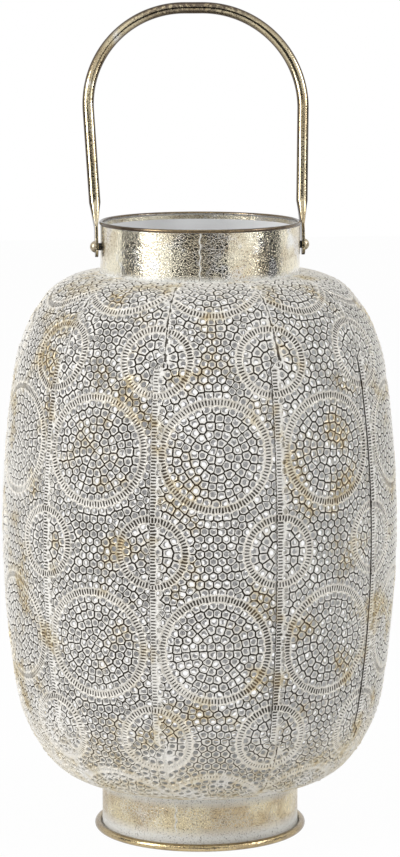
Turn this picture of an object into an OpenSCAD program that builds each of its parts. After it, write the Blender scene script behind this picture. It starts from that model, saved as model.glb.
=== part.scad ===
// Pierced metal lantern: ten lapped gores on a foot ring, a collar and a riveted swinging handle.
// The origin is the middle of the foot on the floor, +Z is up and the handle pivots along X.

/* [Body] */
// Diameter of the pierced body at its widest
body_d = 260; // [220:1:320]
// Height of the pierced body from the foot seam to the collar seam
body_h = 337.5; // [280:0.5:400]
// Thickness of the pierced sheet
sheet = 0.8; // [0.5:0.05:1.2]
// Width of the flap that laps over the next gore
flap_w = 7.6; // [4:0.1:10]
// Height of the straight lap seam, its mitred ends included
lap_h = 252; // [180:1:270]
// Height of the mitred corner at each end of a flap
mitre_h = 5; // [2:0.5:10]
// Gap between a flap and the gore under it
lap_gap = 0.3; // [0.15:0.05:0.6]
// Soldered gap between neighbouring gores at the shoulders
butt_gap = 0.2; // [0.1:0.05:0.5]

/* [Piercing] */
// Height from one medallion to the next like one above it
repeat_h = 124; // [100:1:150]
// Height of the pattern's middle above the body's widest line
pattern_rise = 4; // [-15:1:15]
// Radius of a large medallion over its raised band
large_r = 37; // [26:0.5:40]
// Radius of a small medallion over its raised band
small_r = 24; // [16:0.5:28]
// Width of a medallion's raised band
band_w = 4.8; // [3:0.1:7]
// Height of the raised bands above the sheet
emboss = 0.5; // [0.2:0.05:0.9]
// Diameter of a pierced hole
hole_d = 8.2; // [4:0.1:9]
// Distance between the middles of neighbouring holes
hole_pitch = 11.8; // [10:0.1:20]
// Least metal left between a hole and an edge, a seam or a band
hole_margin = 1.6; // [0.8:0.1:4]

/* [Collar and foot] */
// Outer diameter of the collar and of the foot
neck_d = 131; // [110:1:150]
// Thickness of the collar, foot and flange sheet
neck_sheet = 0.9; // [0.6:0.05:1.5]
// Height of the collar above the body, its rim wire included
collar_h = 33.8; // [25:0.1:50]
// Height of the foot below the body
foot_h = 35.8; // [20:0.1:60]
// Width of the flange turned out inside the body
flange_w = 4; // [2:0.1:8]
// Diameter of the wire soldered round the collar's rim
rim_wire_d = 2.4; // [1.5:0.1:4]
// Distance that the rim wire stands out past the collar
rim_wire_out = 0.7; // [0.3:0.05:1.2]
// Diameter of the wire soldered round the foot
foot_wire_d = 5; // [3:0.1:8]
// Height taken off the foot wire's underside so that it stands flat
foot_wire_flat = 0.4; // [0.2:0.05:0.8]
// Width of the vertical seam where a collar or foot strip closes
seam_w = 0.5; // [0.3:0.05:1]
// Depth of that seam
seam_depth = 0.35; // [0.15:0.05:0.5]
// Running and solder gap between pieces that are fitted together
fit_gap = 0.05; // [0.03:0.01:0.09]

/* [Candle plate] */
// Thickness of the candle plate
plate_sheet = 1; // [0.6:0.1:2]
// Diameter of the ring pressed up in the plate to hold a candle
plate_ring_d = 92; // [60:1:110]
// Width of the pressed ring
plate_ring_w = 7; // [4:0.5:10]

/* [Handle] */
// Diameter of the handle's rod
rod_d = 7.6; // [5:0.1:9]
// Distance from the pivot to the middle of the rod at the handle's top
handle_rise = 158; // [120:1:200]
// Distance between the rod's middles where the arms meet the arch
handle_w = 142.4; // [140:0.1:156]
// Bend radius of the arch at its two corners
arch_r = 65.2; // [40:0.1:69]
// Lean of the handle away from upright, as friction holds it
handle_lean = 13.5; // [0:0.5:30]
// Thickness of the rod's flattened ends
tab_t = 2; // [1.5:0.1:3]
// Width of the flattened ends
tab_w = 10.4; // [8:0.1:12]
// Distance from the pivot to the bottom of a flattened end
tab_drop = 6.8; // [5.3:0.1:9]
// Distance from the pivot to where the flat starts to swell into the rod
tab_rise = 13; // [12:0.5:16]
// Length of the forged swelling between flat and rod
forged_h = 16; // [12:0.5:24]
// Height of the pivots above the collar's seam
pivot_h = 17.3; // [12:0.1:22]
// Distance that the rod's middle stands out past the flat's, where the rod begins
rod_out = 0.3; // [0:0.1:1]

/* [Rivets] */
// Diameter of a rivet's shank
shank_d = 3.2; // [2.5:0.1:3.8]
// Diameter of the rivet's round head
head_d = 7.8; // [6:0.1:9]
// Height of the round head
head_h = 3.2; // [2:0.1:3.8]
// Diameter of the spacer between handle and collar
spacer_d = 4.8; // [4.4:0.1:7]
// Length of the spacer
spacer_l = 1.6; // [1.4:0.1:3]
// Diameter of the washer inside the collar
washer_d = 9; // [7:0.1:12]
// Thickness of the washer
washer_t = 0.8; // [0.5:0.1:1.5]
// Diameter of the rivet's hammered tail
tail_d = 6.4; // [5:0.1:8]
// Height of the hammered tail
tail_h = 1.4; // [0.8:0.1:2.5]

/* [Hidden] */
GORES = 10;
GORE_NAMES = [for (i = [1 : GORES]) str("panel_", i < GORES ? "0" : "", i)];

// A round of more than 12 sides stands for a true circle
$fn = 96;
hull_fn = 32;

gore_turn = 360 / GORES;
gore_half = gore_turn / 2;
// Turn of the first flap's edge, of the collar's seam and of the foot's seam from +X
first_flap_turn = -3.25;
collar_seam_turn = -97;
foot_seam_turn = -111;

body_r = body_d / 2;
neck_r = neck_d / 2;
reach = body_r - neck_r;
rise = body_h / 2;
body_mid_z = foot_h + rise;
seam_top_z = foot_h + body_h;
top_z = seam_top_z + collar_h;
pivot_z = seam_top_z + pivot_h;
overrun = 2 * neck_sheet;

// The side of the body is three tangent arcs and a short cone, and each arc ends at one of these turns
side_end = 9.25;
shoulder_end = 38.8;
crown_end = 81.5;
crown_share = 0.606;
cone_share = 0.174;
// Length by which neighbouring stretches of the wall run into each other so that they are one piece
overlap = 0.02;
crown_r = crown_share * reach;
cone_l = cone_share * reach;
// The side's and the shoulder's radii are solved from what the crown and the cone leave of reach and rise
arc_reach = reach - crown_r * (cos(shoulder_end) - cos(crown_end)) - cone_l * sin(crown_end);
arc_rise = rise - crown_r * (sin(crown_end) - sin(shoulder_end)) - cone_l * cos(crown_end);
side_in = 1 - cos(side_end);
side_up = sin(side_end);
shoulder_in = cos(side_end) - cos(shoulder_end);
shoulder_up = sin(shoulder_end) - sin(side_end);
solved = side_in * shoulder_up - side_up * shoulder_in;
side_r = (arc_reach * shoulder_up - arc_rise * shoulder_in) / solved;
shoulder_r = (side_in * arc_rise - side_up * arc_reach) / solved;

arc_radii = [side_r, shoulder_r, crown_r];
arc_turns = [0, side_end, shoulder_end, crown_end];
function polar(r, turn) = r * [cos(turn), sin(turn)];
function arc_middle(i) = i == 0 ? [body_r - side_r, 0]
    : arc_middle(i - 1) + polar(arc_radii[i - 1] - arc_radii[i], arc_turns[i]);
arc_middles = [for (i = [0 : 2]) arc_middle(i)];
function arc_length(r, turn) = r * turn * PI / 180;
arc_lengths = [for (i = [0 : 2]) arc_length(arc_radii[i], arc_turns[i + 1] - arc_turns[i])];
cone_start = arc_middles[2] + polar(crown_r, crown_end);
cone_way = [-sin(crown_end), cos(crown_end)];

// Point of the outer surface, s along it above the widest line: [radius, height, turn of its normal]
function above(s, i = 0) = i > 2 ? concat(cone_start + s * cone_way, crown_end)
    : s > arc_lengths[i] ? above(s - arc_lengths[i], i + 1)
    : let (turn = arc_turns[i] + s / arc_radii[i] * 180 / PI)
        concat(arc_middles[i] + polar(arc_radii[i], turn), turn);
function skin(s) = s >= 0 ? above(s) : let (p = above(-s)) [p[0], -p[1], -p[2]];

// Half sections of the wall, from out to inner of the body's outer surface, one arc or the cone at a time
module arc_band(i, out, inner, start_turn, end_turn) {
    far = 2 * arc_radii[i];
    overlap_turn = overlap / arc_length(arc_radii[i], 1);
    from_turn = start_turn - overlap_turn;
    to_turn = end_turn + overlap_turn;
    middle_turn = (start_turn + end_turn) / 2;
    translate(arc_middles[i]) difference() {
        intersection() {
            circle(arc_radii[i] + out);
            polygon([[0, 0], polar(far, from_turn), 2 * polar(far, middle_turn), polar(far, to_turn)]);
        }
        circle(arc_radii[i] - inner);
    }
}

module cone_band(out, inner) {
    normal = polar(1, crown_end);
    cone_end = cone_start + (cone_l + overrun) * cone_way;
    polygon([cone_start + out * normal, cone_start - inner * normal,
        cone_end - inner * normal, cone_end + out * normal]);
}

module turned(from_turn, to_turn)
    rotate([0, 0, from_turn]) rotate_extrude(angle = to_turn - from_turn) children();

module wall(out, inner, from_turn, to_turn) {
    turned(from_turn, to_turn) arc_band(0, out, inner, -side_end, side_end);
    for (side = [0, 1]) mirror([0, 0, side]) {
        for (i = [1, 2]) turned(from_turn, to_turn) arc_band(i, out, inner, arc_turns[i], arc_turns[i + 1]);
        turned(from_turn, to_turn) cone_band(out, inner);
    }
}

// A gore is drawn with its middle over +X. Its flap is on the clockwise side.
flap_turn = flap_w / arc_length(body_r, 1);
seam_turn = gore_half - butt_gap / 2 / arc_length(body_r, 1);
lap_half = lap_h / 2;
// Sideways shift that lifts each flap clear of the gore that it laps
lap_shift = (sheet + lap_gap) / (2 * sin(gore_half));
shift_turn = lap_shift / arc_length(body_r, 1);

// Middle of the medallions across a gore: halfway between its own flap's edge and the next one's
medallion_turn = -flap_turn;
left_turn = -gore_half - flap_turn;
right_turn = gore_half - flap_turn;
large_s = [for (i = [-1, 1]) pattern_rise + i * repeat_h / 2];
end_large_s = [for (i = [-3, 3]) pattern_rise + i * repeat_h / 2];
small_s = [for (i = [-1 : 1]) pattern_rise + i * repeat_h];

// Distance across the surface between a point at s and turn, and a medallion's middle
function across(s, turn, middle_turn) = arc_length(skin(s)[0], turn - middle_turn);
function apart(s, turn, middle_s, middle_turn) = norm([s - middle_s, across(s, turn, middle_turn)]);
function clear_of(s, turn, middles_s, middle_turn, r) =
    min([for (m = middles_s) apart(s, turn, m, middle_turn)]) > r + hole_d / 2 + hole_margin;
hole_edge = hole_d / 2 + hole_margin;
// A hole stays between the gore's butt seam and the part that the next flap covers, and off the lines where
// one stretch of the side meets the next
crown_start_s = arc_lengths[0] + arc_lengths[1];
stretch_ends = [arc_lengths[0], crown_start_s, crown_start_s + arc_lengths[2]];
function on_gore(s, turn) = across(s, turn, -gore_half) > hole_edge && across(s, right_turn, turn) > hole_edge
    && abs(s) < stretch_ends[2] && min([for (e = stretch_ends) abs(abs(s) - e)]) > hole_d / 2 + sheet;

module on_skin(s, turn) {
    p = skin(s);
    rotate([0, 0, turn]) translate([p[0], 0, p[1]]) rotate([0, 90 - p[2], 0]) children();
}

drill_l = 4 * (sheet + emboss);
module hole(s, turn) on_skin(s, turn) cylinder(h = drill_l, d = hole_d, center = true);

// Rings of holes round a medallion's middle, out to its band
module rosette(middle_s, middle_turn, r) {
    rings = floor((r - band_w - hole_edge) / hole_pitch);
    if (on_gore(middle_s, middle_turn)) hole(middle_s, middle_turn);
    for (ring = [1 : 1 : rings]) {
        ring_r = (r - band_w - hole_edge) * ring / rings;
        count = floor(2 * PI * ring_r / hole_pitch);
        for (k = [0 : count - 1]) {
            s = middle_s + ring_r * sin(360 * k / count);
            turn = middle_turn + ring_r * cos(360 * k / count) / arc_length(skin(s)[0], 1);
            if (on_gore(s, turn)) hole(s, turn);
        }
    }
}

// Rows of holes that fill the ground between the medallions, evenly spaced on each stretch of the side
function rows(from_s, to_s) = let (count = round((to_s - from_s) / hole_pitch / sin(60)))
    [for (row = [0 : count - 1]) [from_s + (row + 0.5) * (to_s - from_s) / count, row % 2 / 2]];
function mirrored(list) = [for (row = list) [-row[0], row[1]]];
end_rows = concat(rows(stretch_ends[0], stretch_ends[1]), rows(stretch_ends[1], stretch_ends[2]));
ground_rows = concat(rows(-stretch_ends[0], stretch_ends[0]), end_rows, mirrored(end_rows));
module ground() {
    columns = ceil(arc_length(body_r, gore_half) / hole_pitch);
    for (row = ground_rows, column = [-columns : columns]) {
        s = row[0];
        shift = row[1];
        turn = medallion_turn + (column + shift) * hole_pitch / arc_length(skin(s)[0], 1);
        if (on_gore(s, turn) && clear_of(s, turn, concat(large_s, end_large_s), medallion_turn, large_r)
            && clear_of(s, turn, small_s, left_turn, small_r)
            && clear_of(s, turn, small_s, right_turn, small_r)) hole(s, turn);
    }
}

module band(middle_s, middle_turn, r) on_skin(middle_s, middle_turn) difference() {
    cylinder(h = r, r = r, center = true);
    cylinder(h = 2 * r, r = r - band_w, center = true);
}

module rosettes() {
    for (s = concat(large_s, end_large_s)) rosette(s, medallion_turn, large_r);
    for (s = small_s, turn = [left_turn, right_turn]) rosette(s, turn, small_r);
}

// The bands that lie on the steep side of the body are raised
module bands() {
    for (s = large_s) band(s, medallion_turn, large_r);
    for (turn = [left_turn, right_turn]) band(small_s[1], turn, small_r);
}

// The clockwise edge above and below the lap seam is cut back to the butt seam, with mitred corners
module flap_ends() {
    lap_r = skin(lap_half)[0];
    lap_z = skin(lap_half)[1];
    edge = lap_r * sin(gore_half + flap_turn);
    butt = lap_r * sin(seam_turn);
    for (side = [0, 1]) mirror([0, 0, side]) {
        translate([0, 0, lap_z]) rotate([0, 0, -seam_turn]) mirror([0, 1, 0])
            cube([body_r + overrun, 2 * flap_w, rise]);
        rotate([90, 0, 90]) linear_extrude(body_r + overrun) polygon([
            [-butt, lap_z],
            [-edge - flap_w, lap_z],
            [-edge - flap_w, lap_z - mitre_h],
            [-edge, lap_z - mitre_h]]);
    }
}

module gore(i) {
    flap_edge_turn = first_flap_turn + i * gore_turn;
    color("gainsboro") difference() {
        translate([0, 0, body_mid_z]) rotate([0, 0, flap_edge_turn + gore_half + flap_turn + shift_turn])
            translate([0, -lap_shift, 0]) difference() {
                union() {
                    wall(0, sheet, -gore_half - flap_turn, seam_turn);
                    intersection() {
                        turned(left_turn, right_turn) arc_band(0, emboss, sheet / 2, -side_end, side_end);
                        bands();
                    }
                }
                flap_ends();
                rosettes();
                ground();
            }
        cylinder(h = top_z, r = neck_r + fit_gap);
    }
}

// A strip closed into a ring, with a groove where its ends meet
module ring_strip(bottom, top, seam_turn) difference() {
    translate([0, 0, bottom]) cylinder(h = top - bottom, r = neck_r);
    translate([0, 0, bottom - overrun]) cylinder(h = top - bottom + 2 * overrun, r = neck_r - neck_sheet);
    rotate([0, 0, seam_turn]) translate([neck_r - seam_depth, -seam_w / 2, bottom - overrun])
        cube([overrun, seam_w, top - bottom + 2 * overrun]);
}

// The end of a strip is turned out inside the body, along the underside of the gores
cone_slope = cos(crown_end) / sin(crown_end);
flange_drop = sheet / sin(crown_end) + fit_gap;
tuck = flange_drop + neck_sheet;
module flange() rotate_extrude() polygon([
    [neck_r - neck_sheet, -flange_drop],
    [neck_r, -flange_drop],
    [neck_r + flange_w, -flange_drop - flange_w * cone_slope],
    [neck_r + flange_w, -tuck - flange_w * cone_slope],
    [neck_r, -tuck],
    [neck_r - neck_sheet, -tuck]]);

module pivot_axis() translate([0, 0, pivot_z]) children();
module bore(d) rotate([0, 90, 0]) cylinder(h = body_d, d = d, center = true);

rim_wire_z = top_z - rim_wire_d / 2;
module collar() color("goldenrod") difference() {
    union() {
        ring_strip(seam_top_z - tuck, top_z - rim_wire_d - fit_gap, collar_seam_turn);
        translate([0, 0, seam_top_z]) flange();
    }
    pivot_axis() bore(shank_d + 2 * fit_gap);
}

module collar_wire() color("gold") rotate_extrude()
    translate([neck_r + rim_wire_out - rim_wire_d / 2, rim_wire_z]) circle(d = rim_wire_d);

module foot() color("wheat") {
    ring_strip(0, foot_h + tuck, foot_seam_turn);
    translate([0, 0, foot_h]) mirror([0, 0, 1]) flange();
}

module foot_wire() color("gold") rotate_extrude() intersection() {
    translate([neck_r + fit_gap + foot_wire_d / 2, foot_wire_d / 2 - foot_wire_flat]) circle(d = foot_wire_d);
    translate([neck_r, 0]) square(2 * foot_wire_d);
}

// The plate lies on the foot's flange and has a hollow ring pressed up in it
plate_r = neck_r + flange_w;
plate_z = foot_h + tuck + flange_w * cone_slope;
module candle_plate() color("silver") translate([0, 0, plate_z]) rotate_extrude() difference() {
    union() {
        square([plate_r, plate_sheet]);
        intersection() {
            translate([plate_ring_d / 2, 0]) circle(d = plate_ring_w);
            square([plate_r, plate_ring_w]);
        }
    }
    translate([plate_ring_d / 2, 0]) circle(d = plate_ring_w - 2 * plate_sheet);
}

// Places along the pivot axis, outwards from the collar's wall
spacer_x = neck_r + fit_gap;
tab_x = spacer_x + spacer_l + fit_gap;
head_x = tab_x + tab_t + fit_gap;
// The washer bears on the inside of the round wall with its rim
washer_x = sqrt(pow(neck_r - neck_sheet, 2) - pow(washer_d / 2, 2)) - fit_gap;
tail_x = washer_x - washer_t - fit_gap;

// Each arm runs from its forged end, tangent to the corner bend, whose middle is arch_x out and arch_z up
rod_x = tab_x + tab_t / 2 + rod_out;
rod_z = tab_rise + forged_h;
arch_x = handle_w / 2 - arch_r;
arch_z = handle_rise - arch_r;
to_arch = norm([arch_x - rod_x, arch_z - rod_z]);
splay = 90 + asin(arch_r / to_arch) - atan2(arch_z - rod_z, arch_x - rod_x);
arm_l = sqrt(pow(to_arch, 2) - pow(arch_r, 2));
slice = tab_t / 10;
// The straight stretches are a hair thinner than the bends and the forged ends that they run into
rod_step = tab_t / 100;
straight_d = rod_d - 2 * rod_step;
run_in = rod_d / 10;

module tab() translate([tab_x, 0, 0]) rotate([90, 0, 90]) linear_extrude(tab_t) {
    translate([0, tab_w / 2 - tab_drop]) circle(d = tab_w);
    translate([-tab_w / 2, tab_w / 2 - tab_drop]) square([tab_w, tab_rise - tab_w / 2 + tab_drop]);
}

module arm() translate([rod_x, 0, rod_z]) rotate([0, splay, 0]) children();

module half_handle() {
    tab();
    hull() {
        translate([tab_x, -tab_w / 2, tab_rise - slice]) cube([tab_t, tab_w, slice]);
        arm() cylinder(h = slice, d = rod_d + 4 * rod_step, $fn = hull_fn);
    }
    arm() cylinder(h = arm_l + run_in, d = straight_d);
    translate([arch_x, 0, arch_z]) rotate([90, 0, 0]) rotate([0, 0, -splay])
        rotate_extrude(angle = 90 + splay) translate([arch_r, 0]) circle(d = rod_d);
}

module handle() color("darkgoldenrod") pivot_axis() rotate([-handle_lean, 0, 0]) difference() {
    union() {
        for (side = [0, 1]) mirror([side, 0, 0]) half_handle();
        translate([0, 0, handle_rise]) rotate([0, 90, 0])
            cylinder(h = 2 * (arch_x + run_in), d = straight_d, center = true);
    }
    bore(shank_d + 2 * fit_gap);
}

// Pieces of the right pivot, drawn along X. The left ones are their mirror image.
module rod_piece(from_x, to_x, d)
    translate([from_x, 0, 0]) rotate([0, 90, 0]) cylinder(h = to_x - from_x, d = d);
module ring_piece(from_x, to_x, d) difference() {
    rod_piece(from_x, to_x, d);
    rod_piece(from_x - overrun, to_x + overrun, shank_d + 2 * fit_gap);
}
module on_side(left) pivot_axis() mirror([left, 0, 0]) children();

// A rivet is turned from one half section: hammered tail, shank and round head
head_ball_r = (pow(head_d / 2, 2) + pow(head_h, 2)) / (2 * head_h);
module rivet(left) color("lightgray") on_side(left) rotate([0, 90, 0]) rotate_extrude() {
    translate([0, tail_x - tail_h]) square([tail_d / 2, tail_h]);
    translate([0, tail_x - overlap]) square([shank_d / 2, head_x - tail_x + 2 * overlap]);
    intersection() {
        translate([0, head_x + head_h - head_ball_r]) circle(head_ball_r);
        translate([0, head_x]) square([head_d, head_h + overlap]);
    }
}
module spacer(left) color("dimgray") on_side(left) ring_piece(spacer_x, spacer_x + spacer_l, spacer_d);
module washer(left) color("silver") on_side(left) ring_piece(washer_x - washer_t, washer_x, washer_d);

for (i = [0 : GORES - 1]) gore(i);
collar();
collar_wire();
foot();
foot_wire();
candle_plate();
handle();
rivet(1);  // rivet_left
rivet(0);  // rivet_right
spacer(1);  // spacer_left
spacer(0);  // spacer_right
washer(1);  // washer_left
washer(0);  // washer_right
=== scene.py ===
import bpy
import numpy as np
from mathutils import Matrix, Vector
from mathutils.geometry import delaunay_2d_cdt


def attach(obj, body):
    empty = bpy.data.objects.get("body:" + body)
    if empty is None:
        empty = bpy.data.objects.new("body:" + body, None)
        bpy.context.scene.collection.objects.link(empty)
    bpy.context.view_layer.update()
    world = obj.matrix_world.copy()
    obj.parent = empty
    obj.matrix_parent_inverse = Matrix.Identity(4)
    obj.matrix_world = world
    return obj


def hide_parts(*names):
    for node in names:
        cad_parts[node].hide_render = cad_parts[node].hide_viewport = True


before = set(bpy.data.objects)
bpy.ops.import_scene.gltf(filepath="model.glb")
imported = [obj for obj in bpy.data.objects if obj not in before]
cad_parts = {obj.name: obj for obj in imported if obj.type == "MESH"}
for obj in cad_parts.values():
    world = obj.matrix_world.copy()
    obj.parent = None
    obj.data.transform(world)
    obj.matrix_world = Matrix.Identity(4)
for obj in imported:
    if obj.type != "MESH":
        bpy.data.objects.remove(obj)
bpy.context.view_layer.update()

# The view: the lantern seen a little from above and 7 degrees to its left, through a long lens, so that
# its sides stay nearly parallel. Sizes are in metres and angles in radians.
IMAGE_H = 857
SENSOR = 36
focal_pixels = 3422.67
camera_away, camera_height, camera_turn = 2.23663, 0.61483, np.radians(-7)
aim = Vector((0, 0, 0.26912))

camera_data = bpy.data.cameras.new("camera")
camera_data.sensor_width = SENSOR
camera_data.lens = focal_pixels * SENSOR / IMAGE_H
camera = bpy.data.objects.new("camera", camera_data)
camera.location = (camera_away * np.sin(camera_turn), -camera_away * np.cos(camera_turn), camera_height)
camera.rotation_euler = (aim - camera.location).to_track_quat("-Z", "Y").to_euler()
bpy.context.collection.objects.link(camera)
bpy.context.scene.camera = camera

# The studio: a pale floor, a white surround and three soft boxes, with strips of dark card round them whose
# reflections draw the dark lines along polished metal. The camera itself doesn't see the cards.
bpy.context.scene.view_settings.view_transform = "Standard"


def add_mesh(name, points, faces, materials=()):
    """A mesh object at the origin from an array of points and a list or array of faces."""
    mesh = bpy.data.meshes.new(name)
    mesh.from_pydata(points, [], faces if isinstance(faces, list) else faces.tolist())
    for material in materials:
        mesh.materials.append(material)
    piece = bpy.data.objects.new(name, mesh)
    bpy.context.collection.objects.link(piece)
    return piece


def shader_tree(name):
    """A new material, its node tree and its Principled BSDF."""
    material = bpy.data.materials.new(name)
    material.use_nodes = True
    return material, material.node_tree, material.node_tree.nodes["Principled BSDF"]


def paint(name, colour, roughness, metallic=0):
    """A plain finish of one colour."""
    material, tree, shader = shader_tree(name)
    for label, value in (("Base Color", (*colour, 1)), ("Roughness", roughness), ("Metallic", metallic)):
        shader.inputs[label].default_value = value
    return material


def put(tree, socket, term):
    """Gives an input its term, which is another node's output or a constant."""
    if isinstance(term, bpy.types.NodeSocket):
        tree.links.new(term, socket)
    else:
        socket.default_value = term


def calculate(tree, operation, first, second, clamp=False):
    """One Math node of two terms."""
    node = tree.nodes.new("ShaderNodeMath")
    node.operation = operation
    node.use_clamp = clamp
    put(tree, node.inputs[0], first)
    put(tree, node.inputs[1], second)
    return node.outputs[0]


def graded(tree, value, start, end, low=0, high=1, smooth=False):
    """One Map Range node: low where the value is start, high where it is end, and held beyond them."""
    node = tree.nodes.new("ShaderNodeMapRange")
    node.interpolation_type = "SMOOTHSTEP" if smooth else "LINEAR"
    for label, term in zip(("Value", "From Min", "From Max", "To Min", "To Max"),
                           (value, start, end, low, high)):
        put(tree, node.inputs[label], term)
    return node.outputs["Result"]


def background_rays(tree):
    """1 for the rays that show the background: from the camera, off metal and through glass."""
    seen = tree.nodes.new("ShaderNodeLightPath").outputs
    either = calculate(tree, "MAXIMUM", seen["Is Camera Ray"], seen["Is Glossy Ray"])
    return calculate(tree, "MAXIMUM", either, seen["Is Transmission Ray"])


floor_size, floor_grey, paper_rough = 8, 0.9, 0.9
shadow_share = 0.03
floor_material, tree, shader = shader_tree("floor_paper")
shader.inputs["Base Color"].default_value = (floor_grey, floor_grey, floor_grey, 1)
shader.inputs["Roughness"].default_value = paper_rough
mix = tree.nodes.new("ShaderNodeMixShader")
put(tree, mix.inputs["Fac"], calculate(tree, "MULTIPLY", background_rays(tree), 1 - shadow_share))
put(tree, mix.inputs[1], shader.outputs["BSDF"])
put(tree, mix.inputs[2], tree.nodes.new("ShaderNodeEmission").outputs["Emission"])
put(tree, tree.nodes["Material Output"].inputs["Surface"], mix.outputs["Shader"])
corners = np.array([(-1, -1, 0), (1, -1, 0), (1, 1, 0), (-1, 1, 0)]) * floor_size / 2
floor = add_mesh("floor", corners, [(0, 1, 2, 3)], [floor_material])

surround_light = 0.5
world = bpy.data.worlds.new("surround")
world.use_nodes = True
tree = world.node_tree
background = tree.nodes["Background"]
background.inputs["Color"].default_value = (1, 1, 1, 1)
put(tree, background.inputs["Strength"], graded(tree, background_rays(tree), 0, 1, surround_light))
bpy.context.scene.world = world


def soft_box(name, place, size, power):
    """A rectangular lamp that faces the middle of the lantern."""
    light = bpy.data.lights.new(name, "AREA")
    light.shape = "RECTANGLE"
    light.size, light.size_y = size
    light.energy = power
    lamp = bpy.data.objects.new(name, light)
    lamp.location = place
    lamp.rotation_euler = (aim - lamp.location).to_track_quat("-Z", "Y").to_euler()
    bpy.context.collection.objects.link(lamp)


soft_box("soft_box_left", (-1.8, -0.8, 1.0), (0.7, 1.4), 28)
soft_box("soft_box_right", (1.8, -0.7, 1.0), (0.7, 1.4), 30)
soft_box("soft_box_top", (-0.2, -0.8, 2.2), (1.0, 1.0), 2)

near_black, card_columns = (0.02, 0.02, 0.02), 9
card_black = paint("card_black", near_black, paper_rough)


def dark_card(name, away, from_turn, to_turn, top):
    """A curved strip of black card standing on the floor, between two turns from the camera's side."""
    turn = np.radians(np.linspace(from_turn, to_turn, card_columns)) + camera_turn - np.pi / 2
    foot = np.column_stack((away * np.cos(turn), away * np.sin(turn), np.zeros(card_columns)))
    rows = [(i, i + 1, i + 1 + card_columns, i + card_columns) for i in range(card_columns - 1)]
    card = add_mesh(name, np.concatenate((foot, foot + (0, 0, top))), rows, [card_black])
    card.visible_camera = False


dark_card("card_front", 2.6, -32, 32, 1.6)
dark_card("card_left", 1.6, -100, -70, 0.9)
dark_card("card_right", 1.6, 70, 104, 0.9)

# The body: ten gores of thin sheet. Each is punched and pressed on the flat, bent to the barrel's curve
# and soldered, lapping over the next one. Outside it has a dark ground, worn gold and a rubbed off-white
# wash, and inside grey paint. The dark also holds painted shade: level webs and the flap's edge are
# darker, and painted light cuts the dark back on the lower and upper shoulders.
GORES = 10
gore_half = np.pi / GORES
body_r, neck_r = 0.130, 0.0655
body_h, foot_h = 0.3375, 0.0358
sheet = 0.0008
body_mid_z = foot_h + body_h / 2
first_flap_turn = np.radians(-3.25)
flap_turn = 0.0076 / body_r
lap_gap = 0.0003
lap_half, mitre_h = 0.126, 0.005
fade_over, fade_l = 0.008, 0.012
fit_gap = 0.00005
side_end, shoulder_end, crown_end = np.radians((9.25, 38.8, 81.5))
reach = body_r - neck_r
crown_r, cone_l = 0.606 * reach, 0.174 * reach
arc_sums = np.array(((1 - np.cos(side_end), np.cos(side_end) - np.cos(shoulder_end)),
                     (np.sin(side_end), np.sin(shoulder_end) - np.sin(side_end))))
left_over = (reach - crown_r * (np.cos(shoulder_end) - np.cos(crown_end)) - cone_l * np.sin(crown_end),
             body_h / 2 - crown_r * (np.sin(crown_end) - np.sin(shoulder_end)) - cone_l * np.cos(crown_end))
side_r, shoulder_r = np.linalg.solve(arc_sums, left_over)
stretches = np.cumsum((0, side_r * side_end, shoulder_r * (shoulder_end - side_end),
                       crown_r * (crown_end - shoulder_end), cone_l))
half_s = stretches[-1]
beyond, line_places = 0.01, 4001
line_s = np.linspace(0, half_s + beyond, line_places)
line_turn = np.interp(line_s, stretches, (0, side_end, shoulder_end, crown_end, crown_end))
steps = np.diff(line_s)
mid_turn = (line_turn[1:] + line_turn[:-1]) / 2
line_r = body_r - np.append(0, np.cumsum(steps * np.sin(mid_turn)))
line_z = np.append(0, np.cumsum(steps * np.cos(mid_turn)))


def skin(s):
    """Radius, height and tilt of the surface at a length s along it from the widest line.

    The tilt grows evenly along each of three arcs and stays the same along the last, straight stretch.
    Radius and height add up the sines and cosines of the tilt.
    """
    away = np.abs(s)
    side = np.sign(s)
    return (np.interp(away, line_s, line_r), side * np.interp(away, line_s, line_z),
            side * np.interp(away, line_s, line_turn))


HOLE, SLOT, SOLID = range(3)
hole_pitch, hole_r, web = 0.0055, 0.00185, 0.0014
slot_pitch, slot_half, slot_r, solid_r = 0.0020, 0.0013, 0.0005, 0.0002
rib_h, rib_half, lip_h, valley_h, groove_h = 0.0004, 0.0006, 0.0005, 0.00015, 0.00045
lip_w, groove_w, least_rim, most_crest, rim_lift = 0.0004, 0.0007, 0.35, 0.75, 0.4
repeat_h, pattern_rise, pattern_aside = 0.124, 0.004, 0.0018
large_r, small_r, band_w, ring_off = 0.036, 0.0235, 0.0042, 0.0007
top_row_drop = 0.0035
strip_w, strip_in = 0.0052, 0.0023
border_step, border_end_places, lap_edge = 0.0026, 14, 0.0004
edge_room = (0.0016, 0.0013, 0.0009)
hole_to_slot, strip_to_slot, slot_to_slot, hole_to_hole = 0.0024, 0.0019, 0.0006, 0.7 * hole_pitch
ring_squeeze, ring_start, push_share, least_share = 0.9, 0.35, 0.45, 0.8
ground_most, ground_off = (40, 9), 1.3
fill_x, fill_step, fill_pitch, fill_share = (-0.05, 0.055), 0.0008, 0.72 * hole_pitch, 0.76
slot_reach, border_reach, hole_r_shares, band_lift = 0.0002, -0.0010, (0.93, 1.04), 0.35
pattern_play, ring_play, ground_play = 0.0012, 0.00035, 0.0003


def gore_edges(s):
    """Left and right limits of a gore at s, as lengths across it from the medallions' line."""
    r = skin(s)[0]
    lapped = np.clip((lap_half - np.abs(s)) / mitre_h, 0, 1)
    return -r * (gore_half - flap_turn + lapped * flap_turn), r * (gore_half + flap_turn)


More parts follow.
